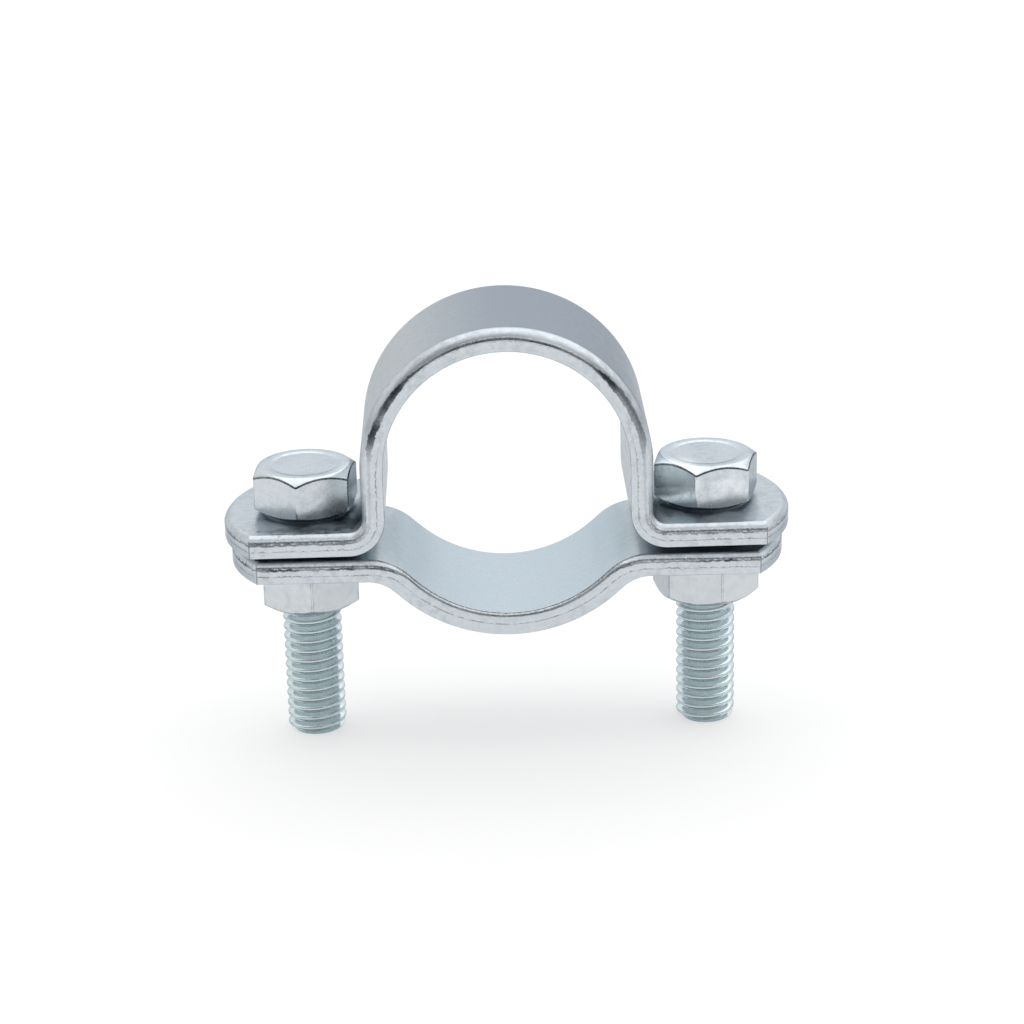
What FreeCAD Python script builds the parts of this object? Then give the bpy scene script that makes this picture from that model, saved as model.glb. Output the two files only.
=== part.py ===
import FreeCAD, Part
import math
import os

import Sketcher
from FreeCAD import Placement, Rotation, Vector

# A double bolt clamp: an arched upper strap and a dished lower strap, drawn together round
# a pipe by two hexagon bolts and nuts. It stands on its two bolt tips. X runs from bolt to
# bolt, Y along the pipe, Z up, and the origin is on the ground midway between the bolts.

doc = FreeCAD.newDocument("double_bolt_clamp")

# Driving dimensions, in millimetres and degrees
driving = {
    "strip_width": (22.5, "both strips, along the pipe"),
    "strip_thickness": (3.0, "both strips"),
    "strip_edge_round": (0.9, "rolled-over edge round each strip's upper face"),
    "ear_end_radius": (18.0, "arc that ends each ear"),
    "upper_overhang": (11.0, "upper ear's tip beyond the bolt axis"),
    "lower_overhang": (10.2, "lower ear's tip beyond the bolt axis"),
    "pipe_radius": (16.0, "inside of the arch"),
    "arch_rise": (11.2, "arch centre above the underside of the upper ears"),
    "fold_radius": (1.8, "inside of the folds between legs and ears"),
    "head_to_leg": (0.37, "gap between a bolt head's corner and the leg beside it"),
    "dish_easing": (1.7, "radius of the dish's upper face beyond the pipe's"),
    "slope_length": (1.2825, "straight part between dish and shoulder"),
    "shoulder_radius": (5.2, "inside of the bends between dish and ears"),
    "shoulder_inset": (0.43, "lower ear's flat starts this far inside the leg's outer face"),
    "ear_gap": (0.8, "between the ears, midway between the bolts"),
    "lower_tilt": (0.4, "degrees: the lower strap hangs lower on the right"),
    "hole_clearance": (0.4, "round the bolt in the strap holes, on the radius"),
    "bolt_length": (31.75, "from the bearing face to the tip"),
    "thread_size": (7.94, "outside diameter of the thread"),
    "tip_bevel": (0.45, "round the bolt's tip"),
    "wrench_size": (12.7, "head and nut across flats"),
    "head_height": (6.2, "bolt head with its washer face"),
    "washer_face_height": (0.35, "raised round face under the head"),
    "washer_face_inset": (0.65, "that face's edge inside the flats"),
    "head_crown_inset": (0.35, "circle on top of the head, inside the flats"),
    "head_crown_slope": (36.0, "degrees: bevel on top of the head"),
    "head_base_inset": (0.3, "circle under the head, inside the flats"),
    "head_base_slope": (24.0, "degrees: bevel under the head"),
    "nut_height": (6.5, "nut along its axis"),
    "nut_crown_inset": (0.4, "circles on the nut's ends, inside the flats"),
    "nut_crown_slope": (34.0, "degrees: bevels on the nut"),
    "nut_bore_clearance": (0.05, "between thread and nut, on the radius"),
    "nut_mouth": (0.5, "countersink at both ends of the nut's bore"),
    "seat_clearance": (0.005, "where a nut's rim bears on the tilted strap"),
    "head_turn_left": (-7.0, "degrees: left head, from a corner at the front"),
    "head_turn_right": (-15.0, "degrees: right head"),
    "nut_turn_left": (4.5, "degrees: left nut"),
    "nut_turn_right": (13.0, "degrees: right nut"),
    "cut_margin": (1.0, "cuts are drawn this far beyond what they remove"),
}
sheet = doc.addObject("Spreadsheet::Sheet", "Sizes")
sheet.Label = "sizes"
for row, (name, (value, meaning)) in enumerate(driving.items(), start=1):
    sheet.set(f"A{row}", name)
    sheet.set(f"B{row}", str(value))
    sheet.set(f"C{row}", meaning)
    sheet.setAlias(f"B{row}", name)
doc.recompute()
size = {name: float(sheet.get(name)) for name in driving}

# Places that follow from the driving dimensions, as expressions on the sheet
leg_outside = "(sizes.pipe_radius + sizes.strip_thickness)"
hex_corner = "(sizes.wrench_size / sqrt(3))"
bolt_axis = f"({leg_outside} + sizes.head_to_leg + {hex_corner})"
hole_radius = "(sizes.thread_size / 2 + sizes.hole_clearance)"
upper_ear = "(sizes.bolt_length - sizes.strip_thickness)"
lower_ear = f"({upper_ear} - sizes.ear_gap)"
tilt = "(sizes.lower_tilt * 1 deg)"
dish_radius = "(sizes.pipe_radius + sizes.dish_easing)"
shoulder_outside = "(sizes.shoulder_radius + sizes.strip_thickness)"
lower_flat = f"({leg_outside} - sizes.shoulder_inset)"
# The slope touches both curves, so their centres lie this far apart from side to side and in height
both_bends = f"({dish_radius} + {shoulder_outside})"
centre_rise = f"sqrt({both_bends}^2 + sizes.slope_length^2 - {lower_flat}^2)"
dish_depth = f"({both_bends} - {centre_rise})"


# Sketch helpers
def value_of(text):
    value = sheet.evalExpression(text)
    return float(getattr(value, "Value", value))


def new_body(name):
    body = doc.addObject("PartDesign::Body", name)
    body.Label = name
    return body


def new_sketch(body, name, plane, lift=None):
    sketch = body.newObject("Sketcher::SketchObject", name)
    datum = [f for f in body.Origin.OriginFeatures if f.Role == plane][0]
    sketch.AttachmentSupport = [(datum, "")]
    sketch.MapMode = "FlatFace"
    if lift:
        sketch.setExpression("AttachmentOffset.Base.z", lift)
    return sketch


def draw_line(sketch, start, end):
    return sketch.addGeometry(Part.LineSegment(Vector(*start, 0), Vector(*end, 0)), False)


def draw_arc(sketch, centre, radius, first, last):
    circle = Part.Circle(Vector(*centre, 0), Vector(0, 0, 1), radius)
    arc = Part.ArcOfCircle(circle, math.radians(first), math.radians(last))
    return sketch.addGeometry(arc, False)


def constrain(sketch, kind, *where):
    sketch.addConstraint(Sketcher.Constraint(kind, *where))


def dimension(sketch, kind, *where, name, to):
    value = value_of(to)
    if kind == "Angle":
        value = math.radians(value)
    index = sketch.addConstraint(Sketcher.Constraint(kind, *where, value))
    sketch.renameConstraint(index, name)
    sketch.setExpression(f"Constraints.{name}", to)


# Ends of a sketch element count up from one, the sketch's own axes down from minus one
START, END, MIDDLE = range(1, 4)
X_AXIS, Y_AXIS = range(-1, -3, -1)
ORIGIN = (X_AXIS, START)


def join(sketch, *pairs):
    for kind, first, first_end, second, second_end in pairs:
        constrain(sketch, kind, first, first_end, second, second_end)


# One half of a folded strip, seen along the pipe: two curves one strip thickness apart
def upper_profile(sketch):
    radius, rise = size["pipe_radius"], size["arch_rise"]
    thick, fold = size["strip_thickness"], size["fold_radius"]
    tip = value_of(f"{bolt_axis} + sizes.upper_overhang")
    fold_x, fold_z = radius + thick + fold, thick + fold
    arch_in = draw_arc(sketch, (0, rise), radius, 0, 90)
    leg_in = draw_line(sketch, (radius, rise), (radius, fold_z))
    fold_under = draw_arc(sketch, (fold_x, fold_z), fold + thick, 180, 270)
    ear_under = draw_line(sketch, (fold_x, 0), (tip, 0))
    ear_tip = draw_line(sketch, (tip, 0), (tip, thick))
    ear_top = draw_line(sketch, (tip, thick), (fold_x, thick))
    fold_in = draw_arc(sketch, (fold_x, fold_z), fold, 180, 270)
    leg_out = draw_line(sketch, (radius + thick, fold_z), (radius + thick, rise))
    arch_out = draw_arc(sketch, (0, rise), radius + thick, 0, 90)
    middle = draw_line(sketch, (0, rise + radius + thick), (0, rise + radius))
    join(
        sketch,
        ("Tangent", arch_in, START, leg_in, START),
        ("Tangent", leg_in, END, fold_under, START),
        ("Tangent", fold_under, END, ear_under, START),
        ("Coincident", ear_under, END, ear_tip, START),
        ("Coincident", ear_tip, END, ear_top, START),
        ("Tangent", ear_top, END, fold_in, END),
        ("Tangent", fold_in, START, leg_out, START),
        ("Tangent", leg_out, END, arch_out, START),
        ("Coincident", arch_out, END, middle, START),
        ("Coincident", middle, END, arch_in, END),
        ("Coincident", arch_out, MIDDLE, arch_in, MIDDLE),
        ("Coincident", fold_in, MIDDLE, fold_under, MIDDLE),
    )
    for line in (ear_under, ear_top):
        constrain(sketch, "Horizontal", line)
    for line in (leg_in, leg_out, ear_tip, middle):
        constrain(sketch, "Vertical", line)
    constrain(sketch, "PointOnObject", arch_in, MIDDLE, Y_AXIS)
    constrain(sketch, "PointOnObject", middle, START, Y_AXIS)
    constrain(sketch, "PointOnObject", ear_under, START, X_AXIS)
    dimension(sketch, "Radius", arch_in, name="arch", to="sizes.pipe_radius")
    dimension(sketch, "Radius", fold_in, name="fold", to="sizes.fold_radius")
    dimension(sketch, "DistanceY", ear_tip, START, ear_tip, END,
              name="thickness", to="sizes.strip_thickness")
    dimension(sketch, "DistanceY", *ORIGIN, arch_in, MIDDLE, name="rise", to="sizes.arch_rise")
    dimension(sketch, "DistanceX", *ORIGIN, ear_tip, START,
              name="tip", to=f"{bolt_axis} + sizes.upper_overhang")


def lower_profile(sketch):
    radius, depth, flat = value_of(dish_radius), value_of(dish_depth), value_of(lower_flat)
    thick, inner, outer = size["strip_thickness"], size["shoulder_radius"], value_of(shoulder_outside)
    tip = value_of(f"{bolt_axis} + sizes.lower_overhang")
    bends, straight = radius + outer, size["slope_length"]
    slope = math.asin(flat / math.hypot(bends, straight)) - math.atan2(straight, bends)
    degrees = math.degrees(slope)

    def on_dish(r):
        return (r * math.sin(slope), radius - depth - r * math.cos(slope))

    def on_shoulder(r):
        return (flat - r * math.sin(slope), r * math.cos(slope) - outer)

    dish_top = draw_arc(sketch, (0, radius - depth), radius, -90, degrees - 90)
    slope_top = draw_line(sketch, on_dish(radius), on_shoulder(outer))
    shoulder_top = draw_arc(sketch, (flat, -outer), outer, 90, 90 + degrees)
    ear_top = draw_line(sketch, (flat, 0), (tip, 0))
    ear_tip = draw_line(sketch, (tip, 0), (tip, -thick))
    ear_under = draw_line(sketch, (tip, -thick), (flat, -thick))
    shoulder_in = draw_arc(sketch, (flat, -outer), inner, 90, 90 + degrees)
    slope_under = draw_line(sketch, on_shoulder(inner), on_dish(radius + thick))
    dish_under = draw_arc(sketch, (0, radius - depth), radius + thick, -90, degrees - 90)
    middle = draw_line(sketch, (0, -depth - thick), (0, -depth))
    join(
        sketch,
        ("Tangent", dish_top, END, slope_top, START),
        ("Tangent", slope_top, END, shoulder_top, END),
        ("Tangent", shoulder_top, START, ear_top, START),
        ("Coincident", ear_top, END, ear_tip, START),
        ("Coincident", ear_tip, END, ear_under, START),
        ("Tangent", ear_under, END, shoulder_in, START),
        ("Tangent", shoulder_in, END, slope_under, START),
        ("Tangent", slope_under, END, dish_under, END),
        ("Coincident", dish_under, START, middle, START),
        ("Coincident", middle, END, dish_top, START),
        ("Coincident", dish_under, MIDDLE, dish_top, MIDDLE),
        ("Coincident", shoulder_in, MIDDLE, shoulder_top, MIDDLE),
    )
    for line in (ear_top, ear_under):
        constrain(sketch, "Horizontal", line)
    for line in (ear_tip, middle):
        constrain(sketch, "Vertical", line)
    constrain(sketch, "PointOnObject", dish_top, MIDDLE, Y_AXIS)
    constrain(sketch, "PointOnObject", middle, START, Y_AXIS)
    constrain(sketch, "PointOnObject", ear_top, START, X_AXIS)
    dimension(sketch, "Radius", dish_top, name="dish", to=dish_radius)
    dimension(sketch, "Radius", shoulder_in, name="shoulder", to="sizes.shoulder_radius")
    dimension(sketch, "DistanceY", ear_tip, END, ear_tip, START,
              name="thickness", to="sizes.strip_thickness")
    dimension(sketch, "DistanceY", middle, START, middle, END,
              name="dish_thickness", to="sizes.strip_thickness")
    dimension(sketch, "Distance", slope_top, name="slope", to="sizes.slope_length")
    dimension(sketch, "DistanceX", *ORIGIN, ear_top, START, name="flat_from", to=lower_flat)
    dimension(sketch, "DistanceX", *ORIGIN, ear_tip, START,
              name="tip", to=f"{bolt_axis} + sizes.lower_overhang")


# What lies outside the arc that ends an ear
def ear_end_profile(sketch, overhang):
    radius = size["ear_end_radius"]
    tip = value_of(f"{bolt_axis} + {overhang}")
    side, beyond = "(sizes.strip_width / 2 + sizes.cut_margin)", tip + size["cut_margin"]
    half = value_of(side)
    centre = tip - radius
    angle = math.degrees(math.asin(half / radius))
    reach = centre + math.sqrt(radius ** 2 - half ** 2)
    end = draw_arc(sketch, (centre, 0), radius, -angle, angle)
    back = draw_line(sketch, (reach, half), (beyond, half))
    outside = draw_line(sketch, (beyond, half), (beyond, -half))
    front = draw_line(sketch, (beyond, -half), (reach, -half))
    join(
        sketch,
        ("Coincident", end, END, back, START),
        ("Coincident", back, END, outside, START),
        ("Coincident", outside, END, front, START),
        ("Coincident", front, END, end, START),
    )
    for line in (back, front):
        constrain(sketch, "Horizontal", line)
    constrain(sketch, "Vertical", outside)
    constrain(sketch, "PointOnObject", end, MIDDLE, X_AXIS)
    dimension(sketch, "Radius", end, name="end", to="sizes.ear_end_radius")
    dimension(sketch, "DistanceX", *ORIGIN, end, MIDDLE,
              name="centre", to=f"{bolt_axis} + {overhang} - sizes.ear_end_radius")
    dimension(sketch, "DistanceX", *ORIGIN, outside, START,
              name="beyond", to=f"{bolt_axis} + {overhang} + sizes.cut_margin")
    dimension(sketch, "DistanceY", *ORIGIN, back, START, name="back", to=side)
    dimension(sketch, "DistanceY", front, START, *ORIGIN, name="front", to=side)


def circle_profile(sketch, x, radius):
    at = value_of(x) if x else 0
    circle = Part.Circle(Vector(at, 0, 0), Vector(0, 0, 1), value_of(radius))
    ring = sketch.addGeometry(circle, False)
    if x:
        constrain(sketch, "PointOnObject", ring, MIDDLE, X_AXIS)
        dimension(sketch, "DistanceX", *ORIGIN, ring, MIDDLE, name="place", to=x)
    else:
        constrain(sketch, "Coincident", ring, MIDDLE, *ORIGIN)
    dimension(sketch, "Radius", ring, name="radius", to=radius)


# A hexagon with one corner to the front, inside a construction circle through its corners
def hexagon_profile(sketch):
    corner = value_of(hex_corner)
    points = [
        (corner * math.sin(math.radians(60 * i)), -corner * math.cos(math.radians(60 * i)))
        for i in range(6)
    ]
    sides = [draw_line(sketch, points[i], points[(i + 1) % 6]) for i in range(6)]
    circle = Part.Circle(Vector(0, 0, 0), Vector(0, 0, 1), corner)
    ring = sketch.addGeometry(circle, True)
    constrain(sketch, "Coincident", ring, MIDDLE, *ORIGIN)
    for i, side in enumerate(sides):
        constrain(sketch, "Coincident", side, END, sides[(i + 1) % 6], START)
        constrain(sketch, "PointOnObject", side, START, ring)
    for side in sides[1:]:
        constrain(sketch, "Equal", sides[0], side)
    constrain(sketch, "PointOnObject", sides[0], START, Y_AXIS)
    dimension(sketch, "Radius", ring, name="corners", to=hex_corner)


# Triangle that bevels the hexagon's corners: its short side lies on the end face at `level`
def bevel_profile(sketch, label, level, inset, slope, upward):
    inside_x = f"(sizes.wrench_size / 2 - {inset})"
    outside_x = f"({hex_corner} + sizes.cut_margin)"
    near, far, z = value_of(inside_x), value_of(outside_x), value_of(level)
    drop = (far - near) * math.tan(math.radians(value_of(slope)))
    low = z - drop if upward else z + drop
    flat = draw_line(sketch, (near, z), (far, z))
    wall = draw_line(sketch, (far, z), (far, low))
    cone = draw_line(sketch, (far, low), (near, z))
    join(
        sketch,
        ("Coincident", flat, END, wall, START),
        ("Coincident", wall, END, cone, START),
        ("Coincident", cone, END, flat, START),
    )
    constrain(sketch, "Horizontal", flat)
    constrain(sketch, "Vertical", wall)
    dimension(sketch, "DistanceX", *ORIGIN, flat, START, name=f"{label}_circle", to=inside_x)
    dimension(sketch, "DistanceX", *ORIGIN, flat, END, name=f"{label}_outside", to=outside_x)
    if level == "0":
        constrain(sketch, "PointOnObject", flat, START, X_AXIS)
    else:
        dimension(sketch, "DistanceY", *ORIGIN, flat, START, name=f"{label}_level", to=level)
    reach = f"({outside_x} - {inside_x}) * tan({slope} * 1 deg)"
    ends = (END, START) if upward else (START, END)
    dimension(sketch, "DistanceY", wall, ends[0], wall, ends[1], name=f"{label}_drop", to=reach)


# Features
def pad(body, sketch, length, symmetric=False, downward=False):
    feature = body.newObject("PartDesign::Pad", sketch.Name + "_pad")
    feature.Profile = sketch
    feature.setExpression("Length", length)
    feature.SideType = "Symmetric" if symmetric else "One side"
    feature.Reversed = downward
    return feature


def pocket_through(body, sketch):
    feature = body.newObject("PartDesign::Pocket", sketch.Name + "_cut")
    feature.Profile = sketch
    feature.Type = "ThroughAll"
    feature.SideType = "Symmetric"
    return feature


def groove(body, sketch):
    feature = body.newObject("PartDesign::Groove", sketch.Name + "_cut")
    feature.Profile = sketch
    feature.ReferenceAxis = (sketch, ["V_Axis"])
    feature.Angle = 360
    return feature


# Edges round the strip's outline whose ends both lie on its upper face
def upper_edges(shape, on_upper_face):
    found = []
    for number, edge in enumerate(shape.Edges, start=1):
        ends = [vertex.Point for vertex in edge.Vertexes]
        at_rim = all(abs(abs(p.y) - size["strip_width"] / 2) < 1e-4 for p in ends)
        if len(ends) == 2 and at_rim and all(on_upper_face(p) for p in ends):
            if edge.Length > size["strip_thickness"] / 100:
                found.append(f"Edge{number}")
    return found


def near(a, b):
    return abs(a - b) < 1e-4


def on_upper_strap_face(p):
    outside = size["pipe_radius"] + size["strip_thickness"]
    fold_x = outside + size["fold_radius"]
    fold_z = size["strip_thickness"] + size["fold_radius"]
    x = abs(p.x)
    if p.z > size["arch_rise"]:
        return near(math.hypot(x, p.z - size["arch_rise"]), outside)
    if x > fold_x:
        return near(p.z, size["strip_thickness"])
    if p.z > fold_z:
        return near(x, outside)
    return near(math.hypot(x - fold_x, p.z - fold_z), size["fold_radius"])


def on_lower_strap_face(p):
    flat, outer, radius = value_of(lower_flat), value_of(shoulder_outside), value_of(dish_radius)
    centre = radius - value_of(dish_depth)
    x = abs(p.x)
    on_dish = near(math.hypot(x, p.z - centre), radius)
    on_shoulder = near(math.hypot(x - flat, p.z + outer), outer)
    return near(p.z, 0) if x > flat else on_dish or on_shoulder


# Folded strip: half of it padded, its ear end and bolt hole cut, then mirrored
def strap(name, profile, overhang, on_upper_face):
    body = new_body(name)
    fold_line = new_sketch(body, name + "_profile", "XZ_Plane")
    profile(fold_line)
    half = pad(body, fold_line, "sizes.strip_width", symmetric=True)
    ear = new_sketch(body, name + "_ear_end", "XY_Plane")
    ear_end_profile(ear, overhang)
    ear_cut = pocket_through(body, ear)
    hole = new_sketch(body, name + "_hole", "XY_Plane")
    circle_profile(hole, bolt_axis, hole_radius)
    hole_cut = pocket_through(body, hole)
    whole = body.newObject("PartDesign::Mirrored", name + "_whole")
    whole.Originals = [half, ear_cut, hole_cut]
    middle = [f for f in body.Origin.OriginFeatures if f.Role == "YZ_Plane"][0]
    whole.MirrorPlane = (middle, [""])
    body.Tip = whole
    doc.recompute()
    rounded = body.newObject("PartDesign::Fillet", name + "_edge_round")
    rounded.Base = (whole, upper_edges(whole.Shape, on_upper_face))
    rounded.setExpression("Radius", "sizes.strip_edge_round")
    return body


# Hexagon bolt: bearing face at z = 0, threaded shank below it, head above
def bolt(name):
    body = new_body(name)
    shank = new_sketch(body, name + "_shank", "XY_Plane")
    circle_profile(shank, None, "sizes.thread_size / 2")
    rod = pad(body, shank, "sizes.bolt_length", downward=True)
    doc.recompute()
    tip = [
        f"Edge{n}" for n, edge in enumerate(rod.Shape.Edges, start=1)
        if all(near(v.Z, -size["bolt_length"]) for v in edge.Vertexes)
    ]
    bevel = body.newObject("PartDesign::Chamfer", name + "_tip_bevel")
    bevel.Base = (rod, tip)
    bevel.setExpression("Size", "sizes.tip_bevel")
    washer = new_sketch(body, name + "_washer_face", "XY_Plane")
    circle_profile(washer, None, "(sizes.wrench_size / 2 - sizes.washer_face_inset)")
    pad(body, washer, "sizes.washer_face_height")
    head = new_sketch(body, name + "_head", "XY_Plane", lift="sizes.washer_face_height")
    hexagon_profile(head)
    pad(body, head, "sizes.head_height - sizes.washer_face_height")
    crown = new_sketch(body, name + "_crown", "XZ_Plane")
    bevel_profile(crown, "crown", "sizes.head_height", "sizes.head_crown_inset",
                  "sizes.head_crown_slope", upward=True)
    bevel_profile(crown, "base", "sizes.washer_face_height", "sizes.head_base_inset",
                  "sizes.head_base_slope", upward=False)
    groove(body, crown)
    return body


# Hexagon nut: upper end at z = 0, both ends bevelled, both mouths of the bore countersunk
def nut(name):
    body = new_body(name)
    block = new_sketch(body, name + "_block", "XY_Plane")
    hexagon_profile(block)
    pad(body, block, "sizes.nut_height", downward=True)
    crown = new_sketch(body, name + "_crown", "XZ_Plane")
    bevel_profile(crown, "top", "0", "sizes.nut_crown_inset", "sizes.nut_crown_slope", upward=True)
    bevel_profile(crown, "bottom", "-sizes.nut_height", "sizes.nut_crown_inset",
                  "sizes.nut_crown_slope", upward=False)
    groove(body, crown)
    bore = new_sketch(body, name + "_bore", "XY_Plane")
    bore_radius = "(sizes.thread_size / 2 + sizes.nut_bore_clearance)"
    circle_profile(bore, None, bore_radius)
    bored = pocket_through(body, bore)
    doc.recompute()
    mouths = [
        f"Edge{n}" for n, edge in enumerate(bored.Shape.Edges, start=1)
        if isinstance(edge.Curve, Part.Circle) and near(edge.Curve.Radius, value_of(bore_radius))
    ]
    mouth = body.newObject("PartDesign::Chamfer", name + "_mouths")
    mouth.Base = (bored, mouths)
    mouth.setExpression("Size", "sizes.nut_mouth")
    return body


upper_strap = strap("upper_strap", upper_profile, "sizes.upper_overhang", on_upper_strap_face)
lower_strap = strap("lower_strap", lower_profile, "sizes.lower_overhang", on_lower_strap_face)
bolt_left, bolt_right = bolt("bolt_left"), bolt("bolt_right")
nut_left, nut_right = nut("nut_left"), nut("nut_right")


# Places
def place(body, x, z, axis=Vector(0, 0, 1), turn=None):
    body.Placement = Placement(Vector(), Rotation(axis, value_of(turn) if turn else 0))
    if x:
        body.setExpression("Placement.Base.x", x)
    body.setExpression("Placement.Base.z", z)
    if turn:
        body.setExpression("Placement.Rotation.Angle", turn)


# The rim of a level nut meets the tilted strap on the side where the strap hangs lowest
def nut_seat(x):
    rim = "(sizes.wrench_size / 2 - sizes.nut_crown_inset)"
    under = f"({lower_ear} - sizes.strip_thickness / cos({tilt}))"
    return f"{under} - ({x} + {rim}) * tan({tilt}) - sizes.seat_clearance"


place(upper_strap, None, upper_ear)
place(lower_strap, None, lower_ear, Vector(0, 1, 0), tilt)
for side, head, hexnut in (("-", bolt_left, nut_left), ("", bolt_right, nut_right)):
    end = "left" if side else "right"
    x = f"{side}{bolt_axis}"
    place(head, x, "sizes.bolt_length", turn=f"sizes.head_turn_{end} * 1 deg")
    place(hexnut, x, nut_seat(x), turn=f"sizes.nut_turn_{end} * 1 deg")
doc.recompute()

for item in doc.Objects:
    if {"Invalid", "Error"} & set(item.State):
        raise RuntimeError(f"{item.Label} did not recompute: {item.State}")

os.makedirs("parts", exist_ok=True)
for body in (upper_strap, lower_strap, bolt_left, bolt_right, nut_left, nut_right):
    shape = body.Shape
    if shape.isNull() or not shape.isValid() or len(shape.Solids) != 1:
        raise RuntimeError(f"{body.Label} is not one sound solid")
    shape.exportStep(f"parts/{body.Label}.step")
    box = shape.BoundBox
    print(f"{body.Label}: {shape.Volume:.1f} mm3, x {box.XMin:.2f} to {box.XMax:.2f}, "
          f"y {box.YMin:.2f} to {box.YMax:.2f}, z {box.ZMin:.2f} to {box.ZMax:.2f}")
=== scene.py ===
import math

import bmesh
import bpy
from mathutils import Matrix, Vector


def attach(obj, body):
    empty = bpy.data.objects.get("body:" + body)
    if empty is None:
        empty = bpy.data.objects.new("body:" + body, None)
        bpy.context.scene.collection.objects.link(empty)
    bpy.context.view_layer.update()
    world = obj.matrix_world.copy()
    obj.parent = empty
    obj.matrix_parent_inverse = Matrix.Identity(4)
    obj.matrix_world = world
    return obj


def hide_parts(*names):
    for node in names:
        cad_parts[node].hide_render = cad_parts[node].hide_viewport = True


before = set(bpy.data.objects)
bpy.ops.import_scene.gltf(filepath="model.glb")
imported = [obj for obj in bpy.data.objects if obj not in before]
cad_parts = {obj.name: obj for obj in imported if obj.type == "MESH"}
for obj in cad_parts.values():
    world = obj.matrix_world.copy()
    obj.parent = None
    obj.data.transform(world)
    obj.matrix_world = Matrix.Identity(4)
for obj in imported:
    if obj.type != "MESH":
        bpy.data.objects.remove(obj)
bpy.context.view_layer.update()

print("frame loaded:", ", ".join(sorted(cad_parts)))

# Sizes are in millimetres and turns in degrees; each finished piece is brought to metres.
# X runs from bolt to bolt, Y along the pipe, Z up, and the bolts stand on Z = 0.

# The flat strip that both straps are folded from
strip = {
    "width": 22.5,
    "thickness": 3.0,
    "endRadius": 18.0,       # arc that ends each ear
    "lowerRim": 0.14,        # small round on the underside's edge
    "holeRadius": 4.37,
    "holeSteps": 96,
    "holeRim": 0.18,
    "rimSteps": 7,
    "rimShape": 0.38,        # flatter than a round
    "endCuts": 26,           # points along an ear's end
}
close = 1e-3                 # places nearer than this are the same place
weld = 0.0005                # points nearer than this become one
cutNear = 0.0001             # a cut takes points this near for points on it
square = 0.99                # a face's normal this close to an axis looks along it


# Working by hand in edit mode
def clearSelection():
    if bpy.context.mode != "OBJECT":
        bpy.ops.object.mode_set(mode="OBJECT")
    bpy.ops.object.select_all(action="DESELECT")


def makeActive(piece):
    clearSelection()
    piece.select_set(True)
    bpy.context.view_layer.objects.active = piece


def edit(piece, mode="FACE"):
    makeActive(piece)
    bpy.ops.object.mode_set(mode="EDIT")
    bpy.ops.mesh.select_mode(type=mode)
    bpy.ops.mesh.select_all(action="DESELECT")


def done():
    bpy.ops.object.mode_set(mode="OBJECT")


# Selects the faces or edges of the mesh in edit mode that pass a test, and says how many
def pick(kind, test):
    mesh = bmesh.from_edit_mesh(bpy.context.edit_object.data)
    found = [part for part in getattr(mesh, kind) if test(part)]
    for part in found:
        part.select_set(True)
    mesh.select_flush_mode()
    bmesh.update_edit_mesh(bpy.context.edit_object.data)
    return len(found)


def middle(part):
    return sum((v.co for v in part.verts), Vector()) / len(part.verts)


def applyAll(piece):
    makeActive(piece)
    for modifier in list(piece.modifiers):
        bpy.ops.object.modifier_apply(modifier=modifier.name)


def outward(piece):
    edit(piece, "VERT")
    bpy.ops.mesh.select_all(action="SELECT")
    bpy.ops.mesh.remove_doubles(threshold=weld)
    bpy.ops.mesh.normals_make_consistent(inside=False)
    done()


# Puts a piece modelled in millimetres at its place, in metres, and smooths it
def settle(piece, place, turn=0.0, tilt=0.0, smooth=28.0):
    makeActive(piece)
    piece.data.transform(
        Matrix.Scale(0.001, 4) @ Matrix.Translation(Vector(place))
        @ Matrix.Rotation(math.radians(tilt), 4, "Y") @ Matrix.Rotation(math.radians(turn), 4, "Z")
    )
    bpy.ops.object.shade_smooth_by_angle(angle=math.radians(smooth))
    weighted = piece.modifiers.new("flat faces stay flat", "WEIGHTED_NORMAL")
    weighted.keep_sharp = True
    applyAll(piece)


def plate(piece, plating):
    for material in plating:
        piece.data.materials.append(material)


def copyOf(piece, name):
    twin = piece.copy()
    twin.data = piece.data.copy()
    twin.name = twin.data.name = name
    bpy.context.collection.objects.link(twin)
    return twin


# Cross-section of the strip, standing on the middle plane X = 0 with its upper face at `top`
def startStrip(name, top):
    clearSelection()
    bpy.ops.mesh.primitive_plane_add(size=1, location=(0, 0, 0))
    piece = bpy.context.object
    piece.name = piece.data.name = name
    edit(piece)
    bpy.ops.mesh.select_all(action="SELECT")
    bpy.ops.transform.resize(value=(strip["thickness"], strip["width"], 1))
    bpy.ops.transform.rotate(value=math.pi / 2, orient_axis="Y", center_override=(0, 0, 0))
    bpy.ops.transform.translate(value=(0, 0, top - strip["thickness"] / 2))
    return piece


def bend(centre, angle, steps):
    bpy.ops.mesh.spin(steps=steps, angle=math.radians(angle), center=centre, axis=(0, -1, 0))


def run(x, z):
    bpy.ops.mesh.extrude_region_move(TRANSFORM_OT_translate={"value": (x, 0, z)})


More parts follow.
